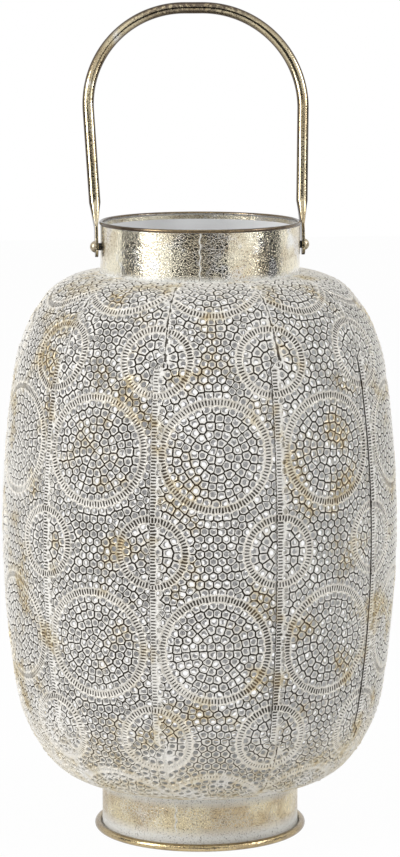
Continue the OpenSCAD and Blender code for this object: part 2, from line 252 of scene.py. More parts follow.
def medallion_sites(medallions, rng):
    """Places, directions and kinds of the medallions' holes and slots.

    Each medallion has rings of holes, evenly spaced by angle about its middle, then a band of radial slots,
    and one more ring of holes close outside it. Its middle line follows the gore's edge or middle.
    """
    rows = []
    for side, middle_s, outer_r in medallions:
        slot_ring_r = outer_r - band_w / 2
        count = int(2 * np.pi * slot_ring_r / slot_pitch)
        rings = [(slot_ring_r, count, SLOT, 0.5)]
        last_r = outer_r - band_w - hole_pitch / 2 + ring_off
        inner = int(round(last_r / (hole_pitch * ring_squeeze)))
        for k in range(1, inner + 1):
            ring_r = last_r * (k - ring_start) / (inner - ring_start)
            rings.append((ring_r, max(3, int(round(2 * np.pi * ring_r / hole_pitch))), HOLE, rng.random()))
        outside_r = outer_r + hole_pitch / 2 - ring_off
        rings.append((outside_r, int(2 * np.pi * outside_r / hole_pitch), HOLE, rng.random()))
        for ring_r, number, kind, phase in rings:
            turn = (np.arange(number) + phase) * 2 * np.pi / number
            x, s = ring_r * np.cos(turn), middle_s + ring_r * np.sin(turn)
            if kind == HOLE and ring_r < outer_r:
                x, s = x + rng.normal(0, ring_play, number), s + rng.normal(0, ring_play, number)
            x = x + side * gore_half * skin(s)[0] + pattern_aside
            rows.append(np.column_stack((x, s, turn, np.full(number, kind))))
    return np.concatenate(rows)


def spread(moving, fixed, fixed_reach, rounds=40):
    """Pushes loose holes apart, and off the fixed sites, until they are evenly spread."""
    for _ in range(rounds):
        others = np.concatenate((moving, fixed))
        needed = np.concatenate((np.full(len(moving), hole_pitch), hole_pitch / 2 + fixed_reach))
        gap = moving[:, None] - others[None]
        distance = np.hypot(gap[..., 0], gap[..., 1])
        distance[np.arange(len(moving)), np.arange(len(moving))] = np.inf
        push = np.clip(needed - distance, 0, None) / distance * push_share
        moving = moving + (gap * push[..., None]).sum(axis=1)
    crowded = (distance < needed * least_share).any(axis=1)
    return moving[~crowded]


def filled(holes, fixed, fixed_reach, kept, rng):
    """Adds holes in the gaps that are left, one after the other, wherever one more has room."""
    x, s = (v.ravel() for v in np.meshgrid(np.arange(*fill_x, fill_step),
                                           np.arange(-half_s, half_s, fill_step)))
    tries = np.column_stack((x, s))[kept(x, s, edge_room[HOLE], strip_w)]
    tries = tries[rng.permutation(len(tries))]
    for known, needed in ((holes, np.full(len(holes), fill_pitch)),
                          (fixed, fill_share * (hole_pitch / 2 + fixed_reach))):
        near = np.ones(len(tries), bool)
        for place, room in zip(known, needed):
            near &= np.hypot(*(tries - place).T) > room
        tries = tries[near]
    added = []
    while len(tries):
        added.append(tries[0])
        tries = tries[np.hypot(*(tries - tries[0]).T) > fill_pitch]
    return np.concatenate((holes, added)) if added else holes


def gore_sites(rng):
    """Places, directions and kinds of one gore's sites, its border's first, and its medallions."""
    shift = rng.uniform(-pattern_play, pattern_play)
    larges = [(0, pattern_rise + i * repeat_h / 2 + shift, large_r) for i in (-3, -1, 1, 3)]
    smalls = [(side, pattern_rise + i * repeat_h + shift - (i == 1) * top_row_drop, small_r)
              for i in (-1, 0, 1) for side in (-1, 1)]
    pattern = medallion_sites(larges + smalls, rng)
    strip_s = np.arange(-lap_half + mitre_h, lap_half - mitre_h, slot_pitch)
    strip = np.column_stack((gore_edges(strip_s)[0] + strip_in, strip_s, 0 * strip_s, 0 * strip_s + SLOT))
    is_hole = pattern[:, 3] == HOLE
    pattern = np.concatenate((pattern[~is_hole], strip, pattern[is_hole]))

    border_s = np.linspace(-half_s, half_s, int(2 * half_s / border_step))
    mitres = np.array((-lap_half, -lap_half + mitre_h, lap_half - mitre_h, lap_half))
    off_mitre = np.abs(np.abs(border_s) - lap_half + mitre_h / 2) > mitre_h
    left_s = np.sort(np.append(border_s[off_mitre], mitres))
    left_x = gore_edges(left_s)[0]
    right_x = gore_edges(border_s)[1]
    end_x = np.linspace(*gore_edges(half_s), border_end_places)[1:-1]
    border = np.concatenate((
        np.column_stack((right_x, border_s)),
        np.column_stack((end_x[::-1], np.full(len(end_x), half_s))),
        np.column_stack((left_x, left_s))[::-1],
        np.column_stack((end_x, np.full(len(end_x), -half_s)))))

    def kept(x, s, room, from_flap=0.0):
        low, high = gore_edges(s)
        low = low + np.where(np.abs(s) < lap_half - mitre_h, np.maximum(room, from_flap), room)
        return (x > low) & (x < high - room) & (np.abs(s) < half_s - room)

    room, from_flap = (np.choose(pattern[:, 3].astype(int), v) for v in (edge_room, (strip_w, 0.0, 0.0)))
    pattern = pattern[kept(pattern[:, 0], pattern[:, 1], room, from_flap)]
    gap = np.hypot(*(pattern[:, None, :2] - pattern[None, :, :2]).T)
    is_hole = pattern[:, 3] == HOLE
    of_strip = (pattern[:, 3] == SLOT) & (pattern[:, 2] == 0)
    needed = np.where(is_hole, hole_to_slot, np.where(of_strip, strip_to_slot, slot_to_slot))[:, None]
    needed = np.where(is_hole[:, None] & is_hole[None], hole_to_hole, needed)
    crowded = (gap < needed) & (np.arange(len(pattern))[None] < np.arange(len(pattern))[:, None])
    pattern = pattern[~crowded.any(axis=1)]

    row_step = hole_pitch * np.sin(np.pi / 3)
    rows, columns = np.meshgrid(*(np.arange(-most, most + 1) for most in ground_most), indexing="ij")
    ground = np.column_stack(((columns + rows % 2 / 2).ravel() * hole_pitch, rows.ravel() * row_step))
    ground = ground + rng.uniform(-ground_play, ground_play, ground.shape)
    ground = ground[kept(ground[:, 0], ground[:, 1], edge_room[HOLE], strip_w)]
    for side, middle_s, outer_r in larges + smalls:
        off = np.hypot(ground[:, 0] - side * gore_half * skin(ground[:, 1])[0] - pattern_aside,
                       ground[:, 1] - middle_s)
        ground = ground[off > outer_r + hole_pitch * ground_off]
    fixed = np.concatenate((pattern[:, :2], border))
    fixed_reach = np.concatenate((np.where(pattern[:, 3] == HOLE, hole_pitch / 2, slot_reach),
                                  np.full(len(border), border_reach)))
    ground = spread(ground, fixed, fixed_reach)
    ground = ground[kept(ground[:, 0], ground[:, 1], edge_room[HOLE], strip_w)]
    ground = filled(ground, fixed, fixed_reach, kept, rng)

    places = np.concatenate((border, pattern[:, :2], ground))
    turns = np.concatenate((np.zeros(len(border)), pattern[:, 2], np.zeros(len(ground))))
    kinds = np.concatenate((np.full(len(border), SOLID), pattern[:, 3], np.full(len(ground), HOLE)))
    return places, turns, kinds.astype(int), len(border), larges + smalls


def foot_of(point, place, half):
    """Nearest point of each site to a point: the site itself, or one on a slot's middle line."""
    along = ((point - place) * half).sum(axis=-1)
    length = np.maximum((half ** 2).sum(axis=-1), 1e-12)
    return place + half * np.clip(along / length, -1, 1)[..., None]


def inside(point, corners, least=0.1):
    """Keeps points between their two or three corners: each corner's share of them stays above least."""
    if corners.shape[1] == 2:
        way = corners[:, 1] - corners[:, 0]
        share = ((point - corners[:, 0]) * way).sum(axis=1) / (way ** 2).sum(axis=1)
        return corners[:, 0] + np.clip(share, least, 1 - least)[:, None] * way
    a, b = corners[:, 1] - corners[:, 0], corners[:, 2] - corners[:, 0]
    c = point - corners[:, 0]
    area = a[:, 0] * b[:, 1] - a[:, 1] * b[:, 0]
    share_b = (c[:, 0] * b[:, 1] - c[:, 1] * b[:, 0]) / area
    share_c = (a[:, 0] * c[:, 1] - a[:, 1] * c[:, 0]) / area
    shares = np.clip(np.column_stack((1 - share_b - share_c, share_b, share_c)), least, None)
    shares = shares / shares.sum(axis=1, keepdims=True)
    return (corners * shares[..., None]).sum(axis=1)


def web_points(places, half, size, corners, tries=40):
    """The middles of the webs between sites, found by letting points drift off the nearest hole.

    corners holds two or three sites for each point. A point starts in their middle, and each try moves it
    away from the sites that it is nearer to than on average, until it is as far from each.
    """
    point = places[corners].mean(axis=1)
    for _ in range(tries):
        foot = foot_of(point[:, None], places[corners], half[corners])
        off = point[:, None] - foot
        length = np.maximum(np.linalg.norm(off, axis=-1), 1e-9)
        room = length - size[corners]
        lack = room.mean(axis=1, keepdims=True) - room
        point = point + (0.5 * (lack / length)[..., None] * off).sum(axis=1)
        point = inside(point, places[corners])
    return point


def rim_points(boundary, site, places, half, size):
    """Points of a hole's rim: straight in from the web's middle, at least half a web's width."""
    foot = foot_of(boundary, places[site], half[site])
    off = boundary - foot
    length = np.maximum(np.linalg.norm(off, axis=-1), 1e-9)
    inward = np.minimum(size[site], np.maximum(length - web / 2, least_rim * length))
    return foot + off * (inward / length)[:, None]


def under_lap(x, s, end):
    """Whether a place is under the next gore's flap, within a length end of the widest line."""
    return (x > gore_half * skin(s)[0] - lap_edge) & (np.abs(s) < end)


def press(point, medallions):
    """Height pressed up at a place: two round ribs beside each medallion's band, and the band between."""
    x, s = point[:, 0], point[:, 1]
    height = np.zeros(len(point))
    for side, middle_s, outer_r in medallions:
        off = np.hypot(x - side * gore_half * skin(s)[0] - pattern_aside, s - middle_s)
        for rib in (outer_r - band_w, outer_r):
            height = np.maximum(height, np.exp(-((off - rib) / rib_half) ** 2))
        height = np.maximum(height, band_lift * ((off > outer_r - band_w) & (off < outer_r)))
    return np.where(under_lap(x, s, lap_half), 0, height)


def on_gore(point, height, flap_edge_turn):
    """Bends flat places to the barrel: s along its side, x round it, height square to the surface.

    Below and above the lap the sideways shift that lifts the flap fades away, so that the gores are flush.
    """
    r, z, tilt = skin(point[:, 1])
    turn = point[:, 0] / r - flap_turn
    out = r + height * np.cos(tilt)
    shift = (sheet + lap_gap) / (2 * np.sin(gore_half))
    fade = np.clip((lap_half + fade_over - np.abs(point[:, 1])) / fade_l, 0, 1)
    x = out * np.cos(turn)
    y = out * np.sin(turn) - shift * fade
    middle = flap_edge_turn + gore_half + flap_turn + shift / body_r * fade
    return np.column_stack((x * np.cos(middle) - y * np.sin(middle),
                            x * np.sin(middle) + y * np.cos(middle),
                            body_mid_z + z + height * np.sin(tilt)))


rim_dark, slot_dark, strip_dark = (0.04, 0.2, 0.0), 0.9, 0.6
flap_edge_dirt_and_shadow, flush_edge_dark, web_shade_least = 1.0, 0.4, 0.7


def gore_mesh(index):
    """Points, faces, amounts of dark ground and painted shade and of raised ribs, and inner-face marks of
    one gore.

    The sites are joined into triangles. Each triangle's middle point and its edges' middle points lie on
    webs, and a site's share of the sheet is what lies between them and its own rim, groove or middle. A
    hole's rim and the crest beside it stand over the valley in the web's middle, where the ground is dark.
    """
    rng = np.random.default_rng(100 + index)
    places, turns, kinds, border, medallions = gore_sites(rng)
    loop = [(i, (i + 1) % border) for i in range(border)]
    found = delaunay_2d_cdt([Vector(p) for p in places.tolist()], loop, [], 1, 1e-7)
    origin = np.array([ids[0] for ids in found[3]])
    triangles = np.array(found[2])
    places, turns, kinds = places[origin], turns[origin], kinds[origin]

    slots = kinds == SLOT
    half = np.column_stack((np.cos(turns), np.sin(turns))) * (slot_half * slots)[:, None]
    size = np.choose(kinds, (hole_r * rng.uniform(*hole_r_shares, len(kinds)), slot_r, solid_r))

    directed = np.concatenate((triangles[:, (0, 1)], triangles[:, (1, 2)], triangles[:, (2, 0)]))
    pairs, pair_of = np.unique(np.sort(directed, axis=1), axis=0, return_inverse=True)
    pair_of = pair_of.ravel()
    on_rim = np.bincount(pair_of) == 1
    edge_points = web_points(places, half, size, pairs)
    edge_points[on_rim] = places[pairs[on_rim]].mean(axis=1)
    gap_points = web_points(places, half, size, triangles)

    site_count, pair_count, gap_count = len(places), len(pairs), len(triangles)
    pair_rims = [rim_points(edge_points, pairs[:, side], places, half, size) for side in (0, 1)]
    gap_rims = [rim_points(gap_points, triangles[:, corner], places, half, size) for corner in range(3)]
    rims = np.concatenate(pair_rims + gap_rims)
    around = np.concatenate([edge_points] * 2 + [gap_points] * 3)
    site_of_rim = np.concatenate([*pairs.T, *triangles.T])
    outwards = around - rims
    room = np.maximum(np.linalg.norm(outwards, axis=1), 1e-9)
    crest_share = np.minimum(most_crest, np.maximum(lip_w, room - groove_w) / room)
    flat = np.concatenate((places, edge_points, gap_points, rims, rims + outwards * crest_share[:, None]))
    middle_0 = site_count
    gap_0 = middle_0 + pair_count
    rim_0 = gap_0 + gap_count
    gap_rim_0 = rim_0 + 2 * pair_count
    to_crest = len(rims)
    crest_0 = rim_0 + to_crest
    total = len(flat)

    pressed = press(flat, medallions) * rib_h
    rim_kind = kinds[site_of_rim]
    valley = np.concatenate(((kinds[pairs] == HOLE).all(axis=1) | on_rim,
                             (kinds[triangles] == HOLE).all(axis=1)))
    height = pressed.copy()
    height[site_count:rim_0] -= valley_h * valley
    height[rim_0:crest_0] += np.where(rim_kind == HOLE, lip_h * rim_lift, 0)
    height[crest_0:] += lip_h
    height[:site_count] -= np.where(slots, groove_h, 0)
    height[:border] = pressed[:border]
    dark = np.zeros(total)
    dark[site_count:rim_0] = valley
    dark[rim_0:crest_0] = np.choose(rim_kind, rim_dark)
    # Painted shade: webs that run level, under and over each cell, keep all of the valley's dark, and
    # upright webs keep less. This stands for the shade under each cell's lip.
    between = places[pairs[:, 1]] - places[pairs[:, 0]]
    upright = np.abs(between[:, 1]) / np.linalg.norm(between, axis=1)
    dark[site_count:site_count + pair_count] *= web_shade_least + (1 - web_shade_least) * upright
    # Dirt and painted shadow: within the lap, the flap's free edge gets a full dark line for the shadow
    # under its lifted edge. Beyond the lap the seam line is paler.
    edge_dark = np.where(np.abs(places[:, 1]) < lap_half, flap_edge_dirt_and_shadow, flush_edge_dark)
    edge_dark = edge_dark * (np.arange(site_count) < border)
    dark[:site_count] = np.where(slots, np.where(turns == 0, strip_dark, slot_dark), edge_dark)
    dark[under_lap(flat[:, 0], flat[:, 1], lap_half - mitre_h)] = 0
    lift = pressed / rib_h

    outer, inner, walls = [], [], []
    for corner in range(3):
        site = triangles[:, corner]
        pair_a = pair_of[corner * gap_count:(corner + 1) * gap_count]
        before = (corner + 2) % 3
        pair_b = pair_of[before * gap_count:(before + 1) * gap_count]
        mid_a, mid_b = middle_0 + pair_a, middle_0 + pair_b
        gap = gap_0 + np.arange(gap_count)
        rim_a = rim_0 + pair_a + pair_count * (pairs[pair_a, 1] == site)
        rim_b = rim_0 + pair_b + pair_count * (pairs[pair_b, 1] == site)
        rim_g = gap_rim_0 + corner * gap_count + np.arange(gap_count)
        hole, slot, solid = (kinds[site] == k for k in (HOLE, SLOT, SOLID))
        for near, far, kind in ((0, to_crest, hole), (0, None, slot), (to_crest, None, hole)):
            if far is None:
                far_a, far_g, far_b = mid_a, gap, mid_b
            else:
                far_a, far_g, far_b = rim_a + far, rim_g + far, rim_b + far
            outer += [np.column_stack((rim_a + near, far_a, far_g, rim_g + near))[kind],
                      np.column_stack((rim_g + near, far_g, far_b, rim_b + near))[kind]]
        outer += [np.column_stack((site, rim_a, rim_g, rim_g))[slot],
                  np.column_stack((site, rim_g, rim_b, rim_b))[slot],
                  np.column_stack((site, mid_a, gap, mid_b))[solid]]
        inner += [np.column_stack((rim_g, gap, mid_a, rim_a))[hole],
                  np.column_stack((rim_b, mid_b, gap, rim_g))[hole],
                  np.column_stack((mid_b, gap, mid_a, site))[~hole]]
        walls += [(rim_a[hole], rim_g[hole]), (rim_g[hole], rim_b[hole])]
        lone_a, lone_b = on_rim[pair_a], on_rim[pair_b]
        walls += [(mid_a[lone_a], site[lone_a]), (site[lone_b], mid_b[lone_b])]
    outer = np.concatenate(outer)
    inner = np.concatenate(inner) + total
    wall_a = np.concatenate([a for a, b in walls])
    wall_b = np.concatenate([b for a, b in walls])
    walls = np.column_stack((wall_a, wall_b, wall_b + total, wall_a + total))
    faces = np.concatenate((outer, walls, inner))
    is_inner = np.concatenate((np.zeros(len(outer) + len(walls), bool), np.ones(len(inner), bool)))

    flap_edge_turn = first_flap_turn + index * 2 * gore_half
    points = np.concatenate([on_gore(flat, face_h, flap_edge_turn)
                             for face_h in (height, np.full(total, -sheet))])
    dark = np.concatenate((dark, dark))
    lift = np.concatenate((lift, np.zeros(total)))
    used, faces = np.unique(faces, return_inverse=True)
    faces = faces.reshape(-1, 4)
    return points[used], faces, dark[used], lift[used], is_inner


def mask_group(name, **inputs):
    """A node group with the named values as inputs, a mask as output, and the object's own coordinates."""
    group = bpy.data.node_groups.new(name, "ShaderNodeTree")
    for label, value in inputs.items():
        socket = group.interface.new_socket(label, in_out="INPUT", socket_type="NodeSocketFloat")
        socket.default_value = value
    group.interface.new_socket("Mask", in_out="OUTPUT", socket_type="NodeSocketFloat")
    return (group, group.nodes.new("NodeGroupInput"), group.nodes.new("NodeGroupOutput"),
            group.nodes.new("ShaderNodeTexCoord").outputs["Object"])


# Blotches: soft noise of one size, cut between two levels
blotches, given, result, place = mask_group("blotches", Scale=100, Low=0.4, High=0.6)
noise = blotches.nodes.new("ShaderNodeTexNoise")
noise.inputs["Detail"].default_value = 3
put(blotches, noise.inputs["Vector"], place)
put(blotches, noise.inputs["Scale"], given.outputs["Scale"])
put(blotches, result.inputs["Mask"], graded(blotches, noise.outputs["Fac"], given.outputs["Low"],
                                            given.outputs["High"], smooth=True))


def add_mask(tree, group, **values):
    """A use of a mask group, with the given constants; the result is its output socket."""
    node = tree.nodes.new("ShaderNodeGroup")
    node.node_tree = group
    for label, value in values.items():
        node.inputs[label].default_value = value
    return node.outputs["Mask"]


def times(tree, first, second, clamp=False):
    """The product of two terms."""
    return calculate(tree, "MULTIPLY", first, second, clamp)


def plus(tree, first, second):
    """The sum of two terms."""
    return calculate(tree, "ADD", first, second)


def amount(tree, name):
    """The value of one of the mesh's own point attributes."""
    node = tree.nodes.new("ShaderNodeAttribute")
    node.attribute_name = name
    return node.outputs["Fac"]


def own_place(tree):
    """X, Y and Z of the object's own coordinates."""
    node = tree.nodes.new("ShaderNodeSeparateXYZ")
    put(tree, node.inputs[0], tree.nodes.new("ShaderNodeTexCoord").outputs["Object"])
    return [node.outputs[axis] for axis in "XYZ"]


def mix_colours(tree, share, first, second):
    """One colour Mix node; each of its two terms is a socket or a constant colour."""
    node = tree.nodes.new("ShaderNodeMix")
    node.data_type = "RGBA"
    put(tree, node.inputs["Factor"], share)
    for label, term in (("A", first), ("B", second)):
        socket = [i for i in node.inputs if i.name == label and i.type == "RGBA"][0]
        put(tree, socket, (*term, 1) if isinstance(term, tuple) else term)
    return [o for o in node.outputs if o.type == "RGBA"][0]


wash_white, wash_cream = (0.83, 0.81, 0.765), (0.76, 0.70, 0.55)
worn_gold, dark_ground_and_shade, brown_ground = (0.56, 0.46, 0.29), (0.03, 0.022, 0.012), (0.13, 0.085, 0.04)
bottom_painted_light, top_painted_light = (0.105, 0.055, 0.5), (0.362, 0.373, 0.1)
wide_share, middle_share, fine_share = 0.45, 0.35, 0.2
ground_gain, ground_least = 1.5, 0.3
dark_from, dark_to = 0.05, 0.27
gold_from_z, gold_to_z, low_gold_share = 0.095, 0.045, 0.9
rib_gold, gold_metal, wash_rough = 0.25, 0.7, 0.4
washed, tree, shader = shader_tree("washed_gold")
own_z = own_place(tree)[2]
middle = add_mask(tree, blotches, Scale=60, Low=0.3, High=0.7)
uneven = plus(tree, times(tree, add_mask(tree, blotches, Scale=9, Low=0.35, High=0.65), wide_share),
              times(tree, middle, middle_share))
uneven = plus(tree, uneven, times(tree, add_mask(tree, blotches, Scale=900, Low=0.3, High=0.7), fine_share))
uneven = plus(tree, times(tree, uneven, ground_gain), ground_least)
depth = times(tree, amount(tree, "dark_ground_and_shade"), uneven)
# Painted light: between these heights the dark ground is cut back, so the lower and upper shoulders read
# lighter
for from_z, to_z, share in (bottom_painted_light, top_painted_light):
    depth = calculate(tree, "SUBTRACT", depth, graded(tree, own_z, from_z, to_z, 0, share))
dark = graded(tree, depth, dark_from, dark_to, smooth=True)
warm = add_mask(tree, blotches, Scale=35, Low=0.5, High=0.72)
warm = calculate(tree, "MAXIMUM", warm, times(tree, times(tree, middle, low_gold_share),
                                              graded(tree, own_z, gold_from_z, gold_to_z)))
worn = times(tree, warm, add_mask(tree, blotches, Scale=260, Low=0.4, High=0.6))
worn = calculate(tree, "MAXIMUM", worn, times(tree, amount(tree, "raised"), rib_gold), True)
pale = mix_colours(tree, warm, wash_white, wash_cream)
pale = mix_colours(tree, worn, pale, worn_gold)
low_ground = mix_colours(tree, warm, dark_ground_and_shade, brown_ground)
put(tree, shader.inputs["Base Color"], mix_colours(tree, dark, pale, low_ground))
put(tree, shader.inputs["Metallic"], times(tree, worn, gold_metal))
shader.inputs["Roughness"].default_value = wash_rough

inner_grey = 0.78
blue_share, paint_rough = 1.01, 0.6
grey_paint = paint("grey_paint", (inner_grey, inner_grey, inner_grey * blue_share), paint_rough)


def keep_amount(piece, name, values):
    """Stores one value for each point of a mesh, for its material to read."""
    values = values.astype(np.float32)
    piece.data.attributes.new(name, "FLOAT", "POINT").data.foreach_set("value", values)


def paint_faces(piece, chosen):
    """Gives the chosen faces of a mesh its second material."""
    piece.data.polygons.foreach_set("material_index", chosen.astype(np.int32))


def finish_piece(piece, body, node, sharp=40):
    """Smooth shading, the body that carries the piece and the solid it stands for."""
    piece.data.shade_smooth()
    piece.data.set_sharp_from_angle(angle=np.radians(sharp))
    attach(piece, body)
    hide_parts(node)


for index in range(GORES):
    points, faces, dark, lift, is_inner = gore_mesh(index)
    rows = [tuple(f[:3]) if f[2] == f[3] else tuple(f) for f in faces.tolist()]
    gore = add_mesh(f"pierced_gore_{index + 1:02d}", points, rows, [washed, grey_paint])
    paint_faces(gore, is_inner)
    keep_amount(gore, "dark_ground_and_shade", dark)
    keep_amount(gore, "raised", lift)
    finish_piece(gore, "lantern", f"panel_{index + 1:02d}", sharp=50)

# The leafed metal of collar, foot, wires and handle: gold leaf over a dark size, with flakes of silver
# leaf. It has crackled and tarnished, and hands have rubbed it off the top of the handle. On the wires and
# handle its colour also goes dark where the surface turns away from the camera: a painted dark reflection.
crackle, given, result, place = mask_group("crackle", Scale=400, Width=0.1, Warp=0.002)
ripple = crackle.nodes.new("ShaderNodeTexNoise")
ripple.inputs["Scale"].default_value = 500
moved = crackle.nodes.new("ShaderNodeVectorMath")
moved.operation = "MULTIPLY_ADD"
cells = crackle.nodes.new("ShaderNodeTexVoronoi")
cells.feature = "DISTANCE_TO_EDGE"
put(crackle, ripple.inputs["Vector"], place)
for socket, term in zip(moved.inputs, (ripple.outputs["Color"], given.outputs["Warp"], place)):
    put(crackle, socket, term)
put(crackle, cells.inputs["Vector"], moved.outputs[0])
put(crackle, cells.inputs["Scale"], given.outputs["Scale"])
put(crackle, result.inputs["Mask"],
    graded(crackle, cells.outputs["Distance"], 0, given.outputs["Width"], 1, 0))

leaf_silver, leaf_wash = (0.86, 0.85, 0.81), (0.80, 0.80, 0.77)
leaf_brown, leaf_dark, rubbed_brown = (0.40, 0.30, 0.17), (0.05, 0.03, 0.018), (0.16, 0.13, 0.10)
ragged, rubbed_half, rubbed_ragged, mottle_share = 0.0015, 0.006, 0.004, 0.8
pale_half_r, pale_half_z = 0.0002, 0.0003


def leaf_material(name, gold, flake_low, tarnish_share, wash_share, gloss, wrinkle, washed_edges=(),
                  edge_dark=0.0, pit_share=1.0, crack_scale=600, handled=None, pale_inside=None):
    """Gold leaf with silver flakes, brown tarnish, dark pits, and pale wash in its cracks and specks.

    flake_low is how seldom silver shows, gloss is the roughness of clean leaf and wrinkle the height of its
    relief. crack_scale is the number of cracked cells in a metre. washed_edges are heights between which
    the wash grows to a full cover. edge_dark is how far the colour goes dark where the surface turns away
    from the camera: a painted dark reflection along a rod's or wire's sides. handled is a height over which
    hands have rubbed the leaf off.
    pale_inside is a radius and a height: inside and below them the leaf is paler.
    """
    material, tree, shader = shader_tree(name)
    own_x, own_y, own_z = own_place(tree)
    flakes = add_mask(tree, blotches, Scale=70, Low=flake_low, High=flake_low + 0.15)
    tarnish = add_mask(tree, blotches, Scale=38, Low=0.45, High=0.6)
    patches = add_mask(tree, blotches, Scale=60, Low=0.35, High=0.6)
    cracks = add_mask(tree, crackle, Scale=crack_scale, Width=0.16, Warp=0.002)
    specks = add_mask(tree, blotches, Scale=1100, Low=0.54, High=0.6)
    pits = add_mask(tree, blotches, Scale=1300, Low=0.58, High=0.66)
    tarnish = times(tree, tarnish, times(tree, plus(tree, specks, 0.5), tarnish_share), True)
    wash = times(tree, calculate(tree, "MAXIMUM", cracks, specks), times(tree, patches, wash_share))
    wash = calculate(tree, "MAXIMUM", wash, amount(tree, "seam"))
    rough_z = plus(tree, own_z, times(tree, plus(tree, specks, flakes), ragged))
    for from_z, to_z in washed_edges:
        wash = calculate(tree, "MAXIMUM", wash, graded(tree, rough_z, from_z, to_z))
    worn = times(tree, pits, pit_share)
    # Painted dark reflection: where the surface turns away from the camera, worn also takes the dark colour
    if edge_dark:
        facing = tree.nodes.new("ShaderNodeLayerWeight")
        facing.inputs["Blend"].default_value = 0.3
        worn = calculate(tree, "MAXIMUM", worn, times(tree, facing.outputs["Facing"], edge_dark, True))
    colour = mix_colours(tree, tarnish, mix_colours(tree, flakes, gold, leaf_silver), leaf_brown)
    colour = mix_colours(tree, wash, colour, leaf_wash)
    if handled:
        rubbed = graded(tree, plus(tree, own_z, times(tree, specks, rubbed_ragged)),
                        handled - rubbed_half, handled + rubbed_half)
        mottle = add_mask(tree, blotches, Scale=420, Low=0.48, High=0.6)
        bare = calculate(tree, "SUBTRACT", 1, times(tree, mottle, mottle_share))
        colour = mix_colours(tree, times(tree, rubbed, bare), colour, rubbed_brown)
    if pale_inside:
        pale_r, pale_z = pale_inside
        level = tree.nodes.new("ShaderNodeCombineXYZ")
        put(tree, level.inputs["X"], own_x)
        put(tree, level.inputs["Y"], own_y)
        radius = tree.nodes.new("ShaderNodeVectorMath")
        radius.operation = "LENGTH"
        put(tree, radius.inputs[0], level.outputs[0])
        within = graded(tree, radius.outputs["Value"], pale_r + pale_half_r, pale_r - pale_half_r)
        below = graded(tree, own_z, pale_z + pale_half_z, pale_z - pale_half_z)
        colour = mix_colours(tree, times(tree, within, below), colour, leaf_wash)
    put(tree, shader.inputs["Base Color"], mix_colours(tree, worn, colour, leaf_dark))
    put(tree, shader.inputs["Metallic"], calculate(tree, "SUBTRACT", 1, wash, True))
    put(tree, shader.inputs["Roughness"], plus(tree, times(tree, wash, 0.3), gloss))
    bump = tree.nodes.new("ShaderNodeBump")
    bump.inputs["Distance"].default_value = wrinkle
    bump.inputs["Strength"].default_value = 1
    put(tree, bump.inputs["Height"], plus(tree, specks, cracks))
    put(tree, shader.inputs["Normal"], bump.outputs["Normal"])
    return material


def ring_faces(rows, columns, closed):
    """Quads of a grid whose columns close on themselves, and its rows too where closed is true."""
    i, j = np.meshgrid(np.arange(rows if closed else rows - 1), np.arange(columns), indexing="ij")
    after, beside = (i + 1) % rows, (j + 1) % columns
    return np.column_stack([(a * columns + b).ravel()
                            for a, b in ((i, j), (after, j), (after, beside), (i, beside))])


def fine_loop(loop, step):
    """A closed outline with its long sides divided into steps."""
    rows = []
    for a, b in zip(loop, np.roll(loop, -1, axis=0)):
        count = max(1, int(np.hypot(*(b - a)) / step))
        rows.append(a + (b - a) * np.arange(count)[:, None] / count)
    return np.concatenate(rows)


def round_turns(count):
    """Angles of evenly spaced places round a circle."""
    return np.linspace(0, 2 * np.pi, count + 1)[:-1]


def spun_ring(loop, turns):
    """Points of a closed outline of radii and heights, turned round Z."""
    return np.column_stack([np.outer(way(turns), loop[:, 0]).ravel() for way in (np.cos, np.sin)]
                           + [np.tile(loop[:, 1], len(turns))])


# Collar and foot: strips closed into rings by a soldered seam, with an end turned out inside the body
neck_sheet, flange_w = 0.0009, 0.004
collar_h, rim_wire_d, rim_wire_out = 0.0338, 0.0024, 0.0007
foot_wire_d, foot_wire_flat = 0.005, 0.0004
seam_top_z = foot_h + body_h
top_z = seam_top_z + collar_h
cone_slope = 1 / np.tan(crown_end)
flange_drop = sheet / np.sin(crown_end) + fit_gap
tuck = flange_drop + neck_sheet
seam_depth, seam_half, seam_wave_h, seam_waves = 0.000105, 0.00035, 0.0003, 900
seam_turn_half, seam_places, round_places, strip_step, touch = 0.006, 13, 361, 0.0012, 1e-6
paint_top_z = top_z - 0.0042
collar_paint = paint("blue_grey_paint", (0.76, 0.77, 0.78), 0.5)
collar_gold, foot_gold = (0.86, 0.80, 0.63), (0.66, 0.57, 0.38)
leafed_collar = leaf_material(
    "leafed_collar", collar_gold, flake_low=0.5, tarnish_share=0.6, wash_share=0.12, gloss=0.05,
    wrinkle=0.00003, washed_edges=((seam_top_z + 0.0045, seam_top_z + 0.001),), pit_share=0.55,
    crack_scale=460)
leafed_foot = leaf_material(
    "leafed_foot", foot_gold, flake_low=0.6, tarnish_share=1.3, wash_share=0.4, gloss=0.22,
    wrinkle=0.00007, washed_edges=((foot_h - 0.009, foot_h - 0.002), (0.015, 0.008)), pit_share=0.8,
    crack_scale=450)
